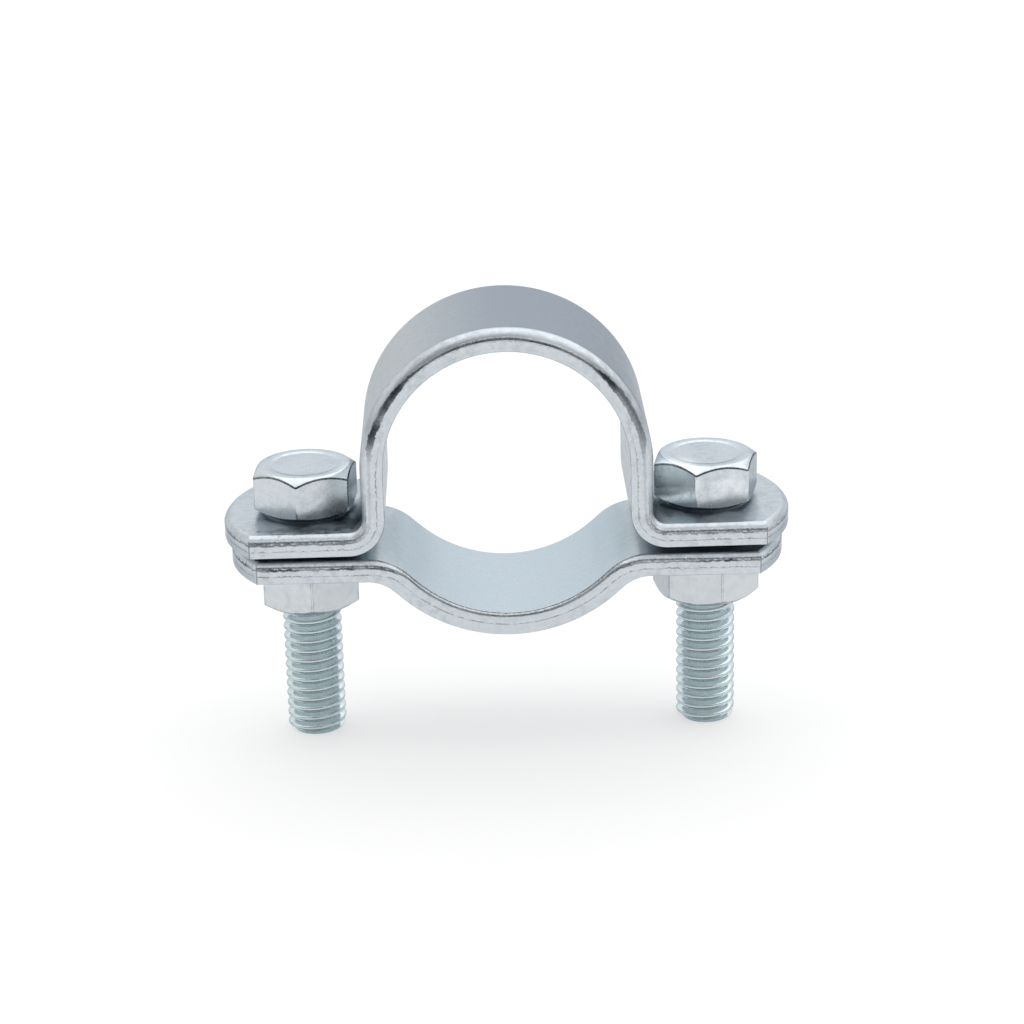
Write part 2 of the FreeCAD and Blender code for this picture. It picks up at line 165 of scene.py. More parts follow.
# Ends the ear in an arc, mirrors the half strap, punches both holes and rolls the rims over
def finishStrip(piece, strap, earTop, rimAt, widestRim):
    half, thick = strip["width"] / 2, strip["thickness"]
    centre, straight = strap["earEnd"] - strip["endRadius"], earCorner(strap)
    bpy.ops.mesh.select_mode(type="EDGE")
    bpy.ops.mesh.select_all(action="DESELECT")
    pick("edges", lambda e: all(abs(v.co.x - straight) < close for v in e.verts)
         and abs(e.verts[0].co.z - e.verts[1].co.z) < close)
    bpy.ops.mesh.subdivide(number_cuts=strip["endCuts"])
    mesh = bmesh.from_edit_mesh(piece.data)
    for v in mesh.verts:
        if abs(v.co.x - straight) < close:
            v.co.x = centre + math.sqrt(strip["endRadius"] ** 2 - v.co.y ** 2)
    bpy.ops.mesh.select_mode(type="FACE")
    bpy.ops.mesh.select_all(action="DESELECT")
    pick("faces", lambda f: abs(f.normal.x) > square and abs(middle(f).x) < close)
    bpy.ops.mesh.delete(type="ONLY_FACE")
    done()
    mirror = piece.modifiers.new("other half", "MIRROR")
    mirror.merge_threshold = close
    applyAll(piece)
    outward(piece)
    # Upper rim rolled over by the punch, lower rim just broken
    weights = piece.data.attributes.new("bevel_weight_edge", "FLOAT", "EDGE")
    for number, e in enumerate(piece.data.edges):
        a, b = (piece.data.vertices[i].co for i in e.vertices)
        placeA, placeB = rimAt(a), rimAt(b)
        atRim = all(abs(abs(p.y) - half) < close or onEnd(p, centre) for p in (a, b))
        followsRim = abs(a.y - b.y) < half and abs(placeA["depth"] - placeB["depth"]) < close
        if atRim and followsRim:
            if placeA["depth"] < 10 * close:
                weights.data[number].value = (placeA["rim"] + placeB["rim"]) / 2 / widestRim
            elif placeA["depth"] > thick - 10 * close:
                weights.data[number].value = strip["lowerRim"] / widestRim
    rim = piece.modifiers.new("rims", "BEVEL")
    rim.limit_method = "WEIGHT"
    rim.width = widestRim
    rim.segments = strip["rimSteps"]
    rim.profile = strip["rimShape"]
    rim.use_clamp_overlap = False
    applyAll(piece)
    for x in (-boltX, boltX):
        clearSelection()
        bpy.ops.mesh.primitive_cylinder_add(vertices=strip["holeSteps"], radius=strip["holeRadius"],
                                            depth=4 * thick, location=(x, 0, earTop))
        punch = bpy.context.object
        hole = piece.modifiers.new("hole", "BOOLEAN")
        hole.operation, hole.solver, hole.object = "DIFFERENCE", "EXACT", punch
        applyAll(piece)
        bpy.data.objects.remove(punch, do_unlink=True)
    edit(piece, "EDGE")
    for x in (-boltX, boltX):
        pick("edges", lambda e: abs(e.verts[0].co.z - e.verts[1].co.z) < close
             and all(onHole(v.co, x) for v in e.verts))
    bpy.ops.mesh.bevel(offset=strip["holeRim"], segments=2, affect="EDGES")
    done()
    # Where each point lies on the strip: along it, below its rolled rim and across it
    places = [(rimAt(v.co), v.co.y) for v in piece.data.vertices]
    along = piece.data.attributes.new("stripPlace", "FLOAT_VECTOR", "POINT")
    for number, (p, across) in enumerate(places):
        along.data[number].vector = (p["along"], p["depth"] - p["rim"], across)
    streakStrength = piece.data.attributes.new("rimStreak", "FLOAT", "POINT")
    for number, (p, _) in enumerate(places):
        streakStrength.data[number].value = p["streakStrength"]


def onHole(p, x):
    return abs(math.hypot(p.x - x, p.y) - strip["holeRadius"]) < 20 * close


def onEnd(p, centre):
    fromArc = abs(math.hypot(abs(p.x) - centre, p.y) - strip["endRadius"])
    return fromArc < 2 * close and abs(p.x) > centre


upperStrap = {
    "archRadius": 16.0,
    "archRise": 11.2,        # arch centre above the underside of the ears
    "foldRadius": 1.8,
    "earUnderside": 28.75,
    "earEnd": 37.7023,
    "archRim": 1.45,         # the rim is rolled over further where the arch stretched it
    "earRim": 1.02,
    "rimNarrows": 0.55,      # share of the arch's quarter turn after which the rim narrows
    "archStreak": 1.0,         # how dark the ragged streak under the rim is
    "legStreak": 0.22,
    "earStreak": 0.75,
    "streakFades": 0.8,      # and after which the streak fades
    "archSteps": 44,
    "foldSteps": 14,
}
lowerStrap = {
    "dishRadius": 17.7,
    "dishDepth": 7.8,
    "shoulderRadius": 5.2,
    "slopeAngle": 42.8995,
    "flatFrom": 18.57,
    "earTop": 27.95,
    "earEnd": 36.9023,
    "tilt": 0.4,             # it hangs a little lower on the right
    "rim": 0.95,
    "dishRim": 0.50,
    "streakStrength": 1.0,
    "dishStreak": 0.85,
    "dishSteps": 24,
    "shoulderSteps": 14,
}
boltX = 26.7023


# Where the straight side of an ear meets the arc at its end
def earCorner(strap):
    reach = strip["endRadius"]
    return strap["earEnd"] - reach + math.sqrt(reach ** 2 - (strip["width"] / 2) ** 2)


def blendBetween(a, b, share):
    share = min(max(share, 0), 1)
    return a + (b - a) * share * share * (3 - 2 * share)


def upperPlace(p):
    s, thick = upperStrap, strip["thickness"]
    x, outside = abs(p.x), s["archRadius"] + thick
    foldX, foldZ = outside + s["foldRadius"], thick + s["foldRadius"]
    quarter = outside * math.pi / 2
    leg = s["archRise"] - foldZ
    if p.z >= s["archRise"]:
        turn = math.atan2(x, p.z - s["archRise"])
        along, depth = outside * turn, outside - math.hypot(x, p.z - s["archRise"])
    elif p.z >= foldZ and x < foldX:
        along, depth = quarter + s["archRise"] - p.z, outside - x
    elif x < foldX:
        turn = math.atan2(foldZ - p.z, foldX - x)
        along = quarter + leg + (s["foldRadius"] + thick) * turn
        depth = math.hypot(foldX - x, foldZ - p.z) - s["foldRadius"]
    else:
        along = quarter + leg + (s["foldRadius"] + thick) * math.pi / 2 + x - foldX
        depth = thick - p.z
    narrows, fades = quarter * s["rimNarrows"], quarter * s["streakFades"]
    rim = blendBetween(s["archRim"], s["earRim"], (along - narrows) / (quarter - narrows + leg))
    streakStrength = blendBetween(s["archStreak"], s["legStreak"], (along - fades) / (quarter - fades))
    if along > quarter + leg:
        fold = (s["foldRadius"] + thick) * math.pi / 2
        streakStrength = blendBetween(s["legStreak"], s["earStreak"], (along - quarter - leg) / fold)
    return {"along": math.copysign(along, p.x), "depth": depth, "rim": rim, "streakStrength": streakStrength}


def lowerPlace(p):
    s, thick = lowerStrap, strip["thickness"]
    x, slope = abs(p.x), math.radians(s["slopeAngle"])
    centreZ = s["dishRadius"] - s["dishDepth"]
    outer = s["shoulderRadius"] + thick
    turn = math.atan2(x, centreZ - p.z)
    fromFlat = math.atan2(s["flatFrom"] - x, p.z + outer)
    dishEnd = s["dishRadius"] * slope
    slopeRun = Vector((s["flatFrom"] - (s["dishRadius"] + outer) * math.sin(slope),
                       (s["dishRadius"] + outer) * math.cos(slope) - outer - centreZ)).length
    if x >= s["flatFrom"]:
        along, depth = dishEnd + slopeRun + outer * slope + x - s["flatFrom"], -p.z
    elif turn <= slope:
        along, depth = s["dishRadius"] * turn, math.hypot(x, centreZ - p.z) - s["dishRadius"]
    elif fromFlat <= slope:
        along = dishEnd + slopeRun + outer * (slope - fromFlat)
        depth = outer - math.hypot(s["flatFrom"] - x, p.z + outer)
    else:
        across = Vector((math.sin(slope), -math.cos(slope)))
        down = Vector((x, p.z - centreZ))
        depth = down.dot(across) - s["dishRadius"]
        along = dishEnd + down.dot(Vector((math.cos(slope), math.sin(slope))))
    onEar = (along - dishEnd - slopeRun / 2) / (slopeRun / 2 + outer * slope)
    rim = blendBetween(s["dishRim"], s["rim"], onEar)
    streakStrength = blendBetween(s["dishStreak"], s["streakStrength"], onEar)
    return {"along": math.copysign(along, p.x), "depth": depth, "rim": rim, "streakStrength": streakStrength}


def makeUpperStrap():
    s, thick = upperStrap, strip["thickness"]
    outside = s["archRadius"] + thick
    foldX, foldZ = outside + s["foldRadius"], thick + s["foldRadius"]
    piece = startStrip("upperStrapZinc", s["archRise"] + outside)
    bend((0, 0, s["archRise"]), 90, s["archSteps"])
    run(0, foldZ - s["archRise"])
    bend((foldX, 0, foldZ), -90, s["foldSteps"])
    run(earCorner(s) - foldX, 0)
    finishStrip(piece, s, thick, upperPlace, s["archRim"])
    settle(piece, (0, 0, s["earUnderside"]))
    return piece


def makeLowerStrap():
    s, thick = lowerStrap, strip["thickness"]
    slope = math.radians(s["slopeAngle"])
    outer, centreZ = s["shoulderRadius"] + thick, s["dishRadius"] - s["dishDepth"]
    across, down = math.sin(slope), math.cos(slope)
    dishEnd = Vector((s["dishRadius"] * across, centreZ - s["dishRadius"] * down))
    bendStart = Vector((s["flatFrom"] - outer * across, outer * down - outer))
    piece = startStrip("lowerStrapZinc", -s["dishDepth"])
    bend((0, 0, centreZ), -s["slopeAngle"], s["dishSteps"])
    run(*(bendStart - dishEnd))
    bend((s["flatFrom"], 0, -outer), s["slopeAngle"], s["shoulderSteps"])
    run(earCorner(s) - s["flatFrom"], 0)
    finishStrip(piece, s, 0, lowerPlace, s["rim"])
    settle(piece, (0, 0, s["earTop"]), tilt=s["tilt"])
    return piece


thread = {
    "crestRadius": 3.965,
    "depth": 0.80,
    "pitch": 25.4 / 18,
    "steps": 56,
    "spare": 2,              # turns beyond each end, which the end cuts take off
    # share of a pitch, share of the depth below the crest
    "profile": ((0.0, 0.0), (0.07, 0.015), (0.13, 0.075), (0.18, 0.19), (0.25, 0.42),
                (0.33, 0.68), (0.40, 0.88), (0.46, 0.98), (0.5, 1.0)),
}
hexBolt = {
    "flats": 12.7,
    "headHeight": 6.2,
    "cornerRound": 0.07,     # a forged hexagon's corners stay a little short
    "crownRadius": 6.0,
    "crownSlope": 36.0,
    "topRing": 4.55,         # shallow upset ring on the head
    "topDish": 0.06,
    "ringSlope": 0.12,       # across the ring's side, and then its foot
    "ringFoot": 0.30,
    "baseRadius": 6.05,
    "baseSlope": 24.0,
    "washerRadius": 5.7,
    "washerHeight": 0.35,
    "washerDraft": 0.06,
    "length": 31.75,
    "intoHead": 0.1,         # the shank starts this far inside the head
    "tipRadius": 3.5,
    "tipSlope": 45.0,
    "edgeRound": 0.16,
    "turns": {"left": -7.0, "right": -15.0},
}
hexNut = {
    "flats": 12.7,
    "height": 6.5,
    "crownRadius": 5.95,
    "crownSlope": 34.0,
    "mouthRadius": 4.52,
    "mouthDepth": 0.5,
    "boreRadius": 4.02,
    "edgeRound": 0.10,
    "turns": {"left": 4.5, "right": 13.0},
    "tops": {"left": 25.0905, "right": 24.7177},
}


def hexCorner(flats):
    return flats / math.sqrt(3)


roundBlank = {"sides": 180, "capFrom": 100}    # a face with more corners than that is a cap


# Round blank whose caps are still to be shaped, from z = low to z = high
def blank(name, plating, radius, low, high):
    clearSelection()
    bpy.ops.mesh.primitive_cylinder_add(
        vertices=roundBlank["sides"], radius=radius, depth=high - low,
        location=(0, 0, (low + high) / 2), rotation=(0, 0, math.pi / roundBlank["sides"]))
    piece = bpy.context.object
    piece.name = piece.data.name = name
    plate(piece, plating)
    bpy.ops.object.transform_apply(location=True, rotation=True, scale=True)
    edit(piece)
    return piece


# Selects the blank's upper or lower cap
def cap(upward):
    def isCap(f):
        return len(f.verts) > roundBlank["capFrom"] and abs(f.normal.z) > square

    bpy.ops.mesh.select_all(action="DESELECT")
    mesh = bmesh.from_edit_mesh(bpy.context.edit_object.data)
    level = (max if upward else min)(middle(f).z for f in mesh.faces if isCap(f))
    pick("faces", lambda f: isCap(f) and abs(middle(f).z - level) < close / 10)


# Draws the selected cap out by `rise`, from one radius to another
def drawOut(fromRadius, toRadius, rise):
    bpy.ops.mesh.extrude_region_move(TRANSFORM_OT_translate={"value": (0, 0, rise)})
    if fromRadius != toRadius:
        share = toRadius / fromRadius
        bpy.ops.transform.resize(value=(share, share, 1))


flatEdges = {
    "sharp": 22.0,           # an edge that turns more than this is broken
    "inside": 1.1,           # and lies no further inside the flats than this
    "upright": 2.0,          # an edge that rises more than this runs between two flats
}


# Cuts the six flats, one corner to the front, and breaks the sharp edges. Material slot 1 paints an
# edge dark, as a painted dark reflection. `groups` says, from one height to another, which slot the
# edges take.
def cutFlats(flats, edgeRound, groups):
    rule = flatEdges
    for number in range(6):
        angle = math.radians(30 + 60 * number)
        normal = Vector((math.sin(angle), -math.cos(angle), 0))
        bpy.ops.mesh.select_all(action="SELECT")
        bpy.ops.mesh.bisect(plane_co=normal * flats / 2, plane_no=normal, use_fill=True,
                            clear_outer=True, threshold=cutNear)
    for slot, lowest, highest, upright in groups:
        bpy.ops.mesh.select_mode(type="EDGE")
        bpy.ops.mesh.select_all(action="DESELECT")
        pick("edges", lambda e: len(e.link_faces) == 2
             and e.calc_face_angle() > math.radians(rule["sharp"])
             and all(math.hypot(v.co.x, v.co.y) > flats / 2 - rule["inside"] for v in e.verts)
             and (abs(e.verts[0].co.z - e.verts[1].co.z) > rule["upright"]) == upright
             and lowest < middle(e).z < highest)
        bpy.ops.mesh.bevel(offset=edgeRound, segments=2, affect="EDGES", clamp_overlap=True,
                           material=slot)
    bpy.ops.mesh.select_mode(type="FACE")


def makeThread(name, plating, low, high, tipRadius):
    t = thread
    clearSelection()
    bpy.ops.mesh.primitive_plane_add(size=1, location=(0, 0, 0))
    piece = bpy.context.object
    piece.name = piece.data.name = name
    plate(piece, plating)
    edit(piece, "VERT")
    pick("verts", lambda v: v.co.x > 0)
    bpy.ops.mesh.delete(type="VERT")          # one edge is left: a pitch of the thread's outline
    bpy.ops.mesh.select_all(action="SELECT")
    shares = list(t["profile"]) + [(1 - at, sunk) for at, sunk in reversed(t["profile"][:-1])]
    bpy.ops.mesh.subdivide(number_cuts=len(shares) - 2)
    mesh = bmesh.from_edit_mesh(piece.data)
    ordered = sorted(mesh.verts, key=lambda v: v.co.y)
    for v, (at, sunk) in zip(ordered, shares):
        turns = at - t["spare"]
        v.co = Vector((t["crestRadius"] - t["depth"] * sunk, 0, low + turns * t["pitch"]))
    bmesh.update_edit_mesh(piece.data)
    done()
    screw = piece.modifiers.new("helix", "SCREW")
    screw.axis = "Z"
    screw.angle = 2 * math.pi
    screw.screw_offset = t["pitch"]
    screw.iterations = math.ceil((high - low) / t["pitch"]) + 2 * t["spare"]
    screw.steps = screw.render_steps = t["steps"]
    screw.use_merge_vertices = True
    screw.merge_threshold = weld
    applyAll(piece)
    outward(piece)
    edit(piece)
    for level, normal in ((low, (0, 0, -1)), (high, (0, 0, 1))):
        bpy.ops.mesh.select_all(action="SELECT")
        bpy.ops.mesh.bisect(plane_co=(0, 0, level), plane_no=normal, use_fill=True,
                            clear_outer=True, threshold=cutNear)
    # The tip's bevel cuts the last crests down to a cone
    mesh = bmesh.from_edit_mesh(piece.data)
    for v in mesh.verts:
        allowed = tipRadius + (v.co.z - low) * math.tan(math.radians(hexBolt["tipSlope"]))
        radius = math.hypot(v.co.x, v.co.y)
        if radius > allowed:
            v.co.x, v.co.y = v.co.x * allowed / radius, v.co.y * allowed / radius
    bmesh.update_edit_mesh(piece.data)
    done()
    return piece


def makeBolt(plating):
    b = hexBolt
    radius = hexCorner(b["flats"]) - b["cornerRound"]
    crownDrop = (radius - b["crownRadius"]) * math.tan(math.radians(b["crownSlope"]))
    baseRise = (radius - b["baseRadius"]) * math.tan(math.radians(b["baseSlope"]))
    piece = blank("boltLeftZinc", plating, radius,
                  b["washerHeight"] + baseRise, b["headHeight"] - crownDrop)
    cap(upward=True)
    drawOut(radius, b["crownRadius"], crownDrop)
    bpy.ops.mesh.inset(thickness=b["crownRadius"] - b["topRing"] - b["ringSlope"])
    bpy.ops.mesh.inset(thickness=b["ringSlope"], depth=-b["topDish"])
    bpy.ops.mesh.inset(thickness=b["ringFoot"], depth=-b["topDish"] / 2)
    cap(upward=False)
    drawOut(radius, b["baseRadius"], -baseRise)
    bpy.ops.mesh.inset(thickness=b["baseRadius"] - b["washerRadius"])
    drawOut(b["washerRadius"], b["washerRadius"] - b["washerDraft"], -b["washerHeight"])
    top, halfway, margin = b["headHeight"], b["headHeight"] / 2, 0.05
    cutFlats(b["flats"], b["edgeRound"],
             ((1, halfway, top - margin, False), (0, top - margin, top + margin, False),
              (0, 0, halfway, False), (0, 0, top, True)))
    done()
    outward(piece)
    shank = makeThread("shank", plating, -b["length"], b["intoHead"], b["tipRadius"])
    makeActive(piece)
    shank.select_set(True)
    bpy.ops.object.join()
    return piece


def makeNut(plating):
    n = hexNut
    radius = hexCorner(n["flats"]) - hexBolt["cornerRound"]
    drop = (radius - n["crownRadius"]) * math.tan(math.radians(n["crownSlope"]))
    piece = blank("nutLeftZinc", plating, radius, drop - n["height"], -drop)
    for upward in (True, False):
        sign = 1 if upward else -1
        cap(upward)
        drawOut(radius, n["crownRadius"], sign * drop)
        bpy.ops.mesh.inset(thickness=n["crownRadius"] - n["mouthRadius"])
        drawOut(n["mouthRadius"], n["boreRadius"], -sign * n["mouthDepth"])
        bpy.ops.mesh.delete(type="ONLY_FACE")
    bpy.ops.mesh.select_mode(type="EDGE")
    pick("edges", lambda e: e.is_boundary)
    bpy.ops.mesh.bridge_edge_loops()
    bpy.ops.mesh.select_mode(type="FACE")
    cutFlats(n["flats"], n["edgeRound"],
             ((1, -n["height"], 0, False), (1, -n["height"], 0, True)))
    done()
    outward(piece)
    return piece


# Zinc plate on steel. Patterns are measured in millimetres.
zinc = {
    "strap": {"pale": (0.60, 0.64, 0.675), "dull": (0.38, 0.44, 0.47), "roughness": 0.20,
              "stain": 0.60, "speck": 0.22, "grit": 0.004},
    "bolt": {"pale": (0.61, 0.65, 0.69), "dull": (0.36, 0.43, 0.46), "roughness": 0.23,
             "stain": 0.55, "speck": 0.24, "grit": 0.003},
    "nut": {"pale": (0.63, 0.665, 0.685), "dull": (0.50, 0.545, 0.57), "roughness": 0.32,
            "stain": 0.50, "speck": 0.20, "grit": 0.0},
    # painted dark reflection along the edges of the heads' crowns
    "edge": {"pale": (0.22, 0.25, 0.26), "dull": (0.03, 0.035, 0.04), "roughness": 0.25,
             "stain": 0.95, "speck": 0.75, "grit": 0.0},
    # painted dark reflection along the nut's broken edges
    "nutEdge": {"pale": (0.50, 0.53, 0.55), "dull": (0.10, 0.115, 0.12), "roughness": 0.30,
                "stain": 0.80, "speck": 0.60, "grit": 0.0},
}
grazing = (0.60, 0.63, 0.66)             # the plating stays grey where it is seen almost edge on
paintedLight = (0.88, 0.93, 0.95)            # painted light: pale patches on the legs and on the heads' flats
bareSteelAndShade = (0.055, 0.065, 0.072)        # dark of the torn line, the corner line and the ragged streak, which is partly painted dark reflection; also painted shade in patches by the legs' feet
# painted shade in front of the heads and under the arch
paintedTealShade = (0.17, 0.235, 0.265)
# Grain of every plating: noise as scale, detail and roughness, and the levels between which it
# sets in. Heights are in millimetres.
zincNoise = {
    "broad": (0.16, 4), "broadLevels": (0.38, 0.66),
    "mottle": (0.9, 5, 0.62), "mottleLevels": (0.40, 0.68),
    "specks": (2.3, 4, 0.7), "speckLevels": (0.36, 0.68),
    "fine": (5.0, 3),
    "waves": (0.40, 3, 0.5), "waveHeight": 0.035,
    "torn": (3.0, 3, 0.6), "tornHeight": 0.06,
    "roughLevels": (0.3, 0.7, -0.05, 0.07),
    "faceRoughness": 0.12,               # the strip's faces are that much rougher than its edges
    "cloudEdge": (0.45, 1.15),
}
threadPlating = {"tone": (0.60, 0.69, 0.71), "below": (29.0, 30.5), "share": 0.85}
# Patterns that lie along the strip. `along` counts from the top of the arch or the bottom of the
# dish, `below` from the rolled rim down and `across` from the strip's middle; `height` is Z.
# The arch's satin face, with painted light on its left and painted shade on its right
archSatinLitLeft = {"left": (0.67, 0.69, 0.685), "right": (0.33, 0.365, 0.415), "turns": (-22.0, 2.0),
             "along": (14.0, 30.0), "below": (0.05, 0.35), "across": (9.9, 10.25),
             "height": (33.0, 40.0)}
blueDish = {"tone": (0.535, 0.61, 0.66), "height": (26.5, 28.0), "across": (10.6, 10.75),
            "below": (-0.3, -0.1)}
# painted shade: the arch's inner faces are darkened
shadeInsideArch = {"below": (0.4, 0.8), "across": (10.9, 11.1), "share": 0.6}
grain = {"tone": (0.30, 0.34, 0.37), "stretch": (0.28, 0.9, 0.9), "noise": (3.0, 5, 0.7),
         "levels": (0.34, 0.68), "share": 0.34, "lessInDish": 0.6}
upperSide = (-0.75, -0.35)
# The ragged dark streak, partly rough fracture and partly painted dark reflection, starts and stops
# at a depth that shifts on the crown, haunches and dish
streakLine = {
    "stretch": (0.6, 1.0, 1.0), "noise": (1.9, 5, 0.75), "calm": (11.0, 18.0, 0.35, 1.0),
    "start": (-0.16, 0.0), "stop": (0.14, 0.34),
    "crown": (12.0, 20.0), "crownHeight": (40.0, 43.0), "crownStart": 0.16, "crownStop": 0.26,
    "haunch": (11.0, 19.0, 0.0, 0.55), "haunchHeight": (41.0, 44.0),
    "dishHeight": (25.0, 27.5), "dishStop": 0.20,
    "slow": (0.22, 2), "slowLevels": (0.35, 0.62, 0.60, 1.0),
}
tornLine = {"start": (0.92, 1.0), "stop": (1.03, 1.14), "breaks": (0.40, 0.56, 0.10, 0.65),
            "archHeight": (41.0, 46.0), "lessOnArch": 0.85, "rough": (-0.55, -0.25, 0.2, 0.5)}
cornerLine = {"reach": (0.05, 0.13), "share": 0.55, "below": (-0.6, -0.3)}


def addNode(tree, kind, **settings):
    node = tree.nodes.new(kind)
    for key, value in settings.items():
        setattr(node, key, value)
    return node


def plug(tree, value, socket):
    if isinstance(value, tuple):
        socket.default_value = (*value, 1) if len(value) == 3 and socket.type == "RGBA" else value
    elif isinstance(value, (int, float)):
        socket.default_value = value
    else:
        tree.links.new(value, socket)


def millimetres(tree, away=(0, 0, 0), size=(1, 1, 1)):
    where = addNode(tree, "ShaderNodeTexCoord")
    scale = addNode(tree, "ShaderNodeMapping")
    scale.inputs["Scale"].default_value = tuple(1000 / s for s in size)
    scale.inputs["Location"].default_value = tuple(-a / s for a, s in zip(away, size))
    tree.links.new(where.outputs["Object"], scale.inputs["Vector"])
    return scale.outputs["Vector"]


def stretched(tree, vector, scale):
    m = addNode(tree, "ShaderNodeMapping")
    m.inputs["Scale"].default_value = scale
    tree.links.new(vector, m.inputs["Vector"])
    return m.outputs["Vector"]


def noise(tree, where, scale, detail=3.0, roughness=0.55):
    n = addNode(tree, "ShaderNodeTexNoise")
    for socket, value in (("Scale", scale), ("Detail", detail), ("Roughness", roughness)):
        n.inputs[socket].default_value = value
    tree.links.new(where, n.inputs["Vector"])
    return n.outputs["Fac"]


def spread(tree, value, low, high, toLow=0.0, toHigh=1.0):
    m = addNode(tree, "ShaderNodeMapRange", interpolation_type="SMOOTHSTEP")
    sockets = ("From Min", "From Max", "To Min", "To Max")
    for socket, number in zip(sockets, (low, high, toLow, toHigh)):
        m.inputs[socket].default_value = number
    tree.links.new(value, m.inputs["Value"])
    return m.outputs["Result"]


def maths(tree, operation, *values):
    m = addNode(tree, "ShaderNodeMath", operation=operation)
    for number, value in enumerate(values):
        plug(tree, value, m.inputs[number])
    return m.outputs["Value"]


def mixed(tree, share, a, b):
    m = addNode(tree, "ShaderNodeMix", data_type="RGBA")
    for socket, value in zip((m.inputs[0], m.inputs[6], m.inputs[7]), (share, a, b)):
        plug(tree, value, socket)
    return m.outputs[2]


def parts(tree, vector):
    s = addNode(tree, "ShaderNodeSeparateXYZ")
    tree.links.new(vector, s.inputs["Vector"])
    return s.outputs["X"], s.outputs["Y"], s.outputs["Z"]


def times(tree, first, *others):
    for value in others:
        first = maths(tree, "MULTIPLY", first, value)
    return first


# All of `share` up to `low`, and nothing from `high` on
def fade(tree, value, low, high, share=1.0):
    return spread(tree, value, low, high, share, 0.0)


# A soft-edged patch of painted light and shade about `centre`, ragged where the plating is uneven
def cloudAt(tree, centre, size, mottle, strength, ragged):
    near = addNode(tree, "ShaderNodeVectorMath", operation="LENGTH")
    tree.links.new(millimetres(tree, centre, size), near.inputs[0])
    uneven = maths(tree, "MULTIPLY_ADD", mottle, ragged, -ragged / 2)
    reach = maths(tree, "ADD", near.outputs["Value"], uneven)
    return fade(tree, reach, *zincNoise["cloudEdge"], strength)


def makeZinc(name, kind, paintedPatches=(), onStrip=0, threaded=False):
    z, p = zinc[kind], zincNoise
    material = bpy.data.materials.new(name)
    material.use_nodes = True
    tree = material.node_tree
    shader = tree.nodes["Principled BSDF"]
    where = millimetres(tree)
    broad = spread(tree, noise(tree, where, *p["broad"]), *p["broadLevels"])
    mottle = noise(tree, where, *p["mottle"])
    stain = times(tree, broad, spread(tree, mottle, *p["mottleLevels"]), z["stain"])
    colour = mixed(tree, stain, z["pale"], z["dull"])
    specks = spread(tree, noise(tree, where, *p["specks"]), *p["speckLevels"], 0.0, z["speck"])
    colour = mixed(tree, specks, colour, z["dull"])
    if threaded:
        t = threadPlating
        onThread = fade(tree, parts(tree, where)[2], *t["below"], t["share"])
        colour = mixed(tree, onThread, colour, t["tone"])
    if onStrip:
        colour, fine = stripPattern(tree, colour, onStrip)
    else:
        fine = noise(tree, where, *p["fine"])
    # soft patches of painted light and shade
    for centre, size, strength, tone, ragged in paintedPatches:
        shade = cloudAt(tree, centre, size, mottle, strength, ragged)
        if onStrip:
            shade = times(tree, shade, upperFace(tree))
        colour = mixed(tree, shade, colour, tone)
    plug(tree, colour, shader.inputs["Base Color"])
    shader.inputs["Metallic"].default_value = 1.0
    plug(tree, grazing, shader.inputs["Specular Tint"])
    rough = maths(tree, "ADD", spread(tree, mottle, *p["roughLevels"]), z["roughness"])
    if onStrip:
        rough = maths(tree, "MULTIPLY_ADD", upperFace(tree), p["faceRoughness"], rough)
    plug(tree, rough, shader.inputs["Roughness"])
    waves = times(tree, noise(tree, where, *p["waves"]), p["waveHeight"])
    height = maths(tree, "ADD", waves, times(tree, fine, z["grit"]))
    if onStrip:
        below = parts(tree, stripPlace(tree))[1]
        starts, full, leaves, gone = tornLine["rough"]
        torn = times(tree, spread(tree, below, starts, full), fade(tree, below, leaves, gone))
        tears = times(tree, noise(tree, where, *p["torn"]), p["tornHeight"])
        height = maths(tree, "ADD", height, times(tree, torn, tears))
    bump = addNode(tree, "ShaderNodeBump")
    bump.inputs["Strength"].default_value = 1.0
    bump.inputs["Distance"].default_value = 0.001
    plug(tree, height, bump.inputs["Height"])
    plug(tree, bump.outputs["Normal"], shader.inputs["Normal"])
    return material


def stripPlace(tree):
    return addNode(tree, "ShaderNodeAttribute", attribute_name="stripPlace").outputs["Vector"]


def upperFace(tree):
    return fade(tree, parts(tree, stripPlace(tree))[1], *upperSide)
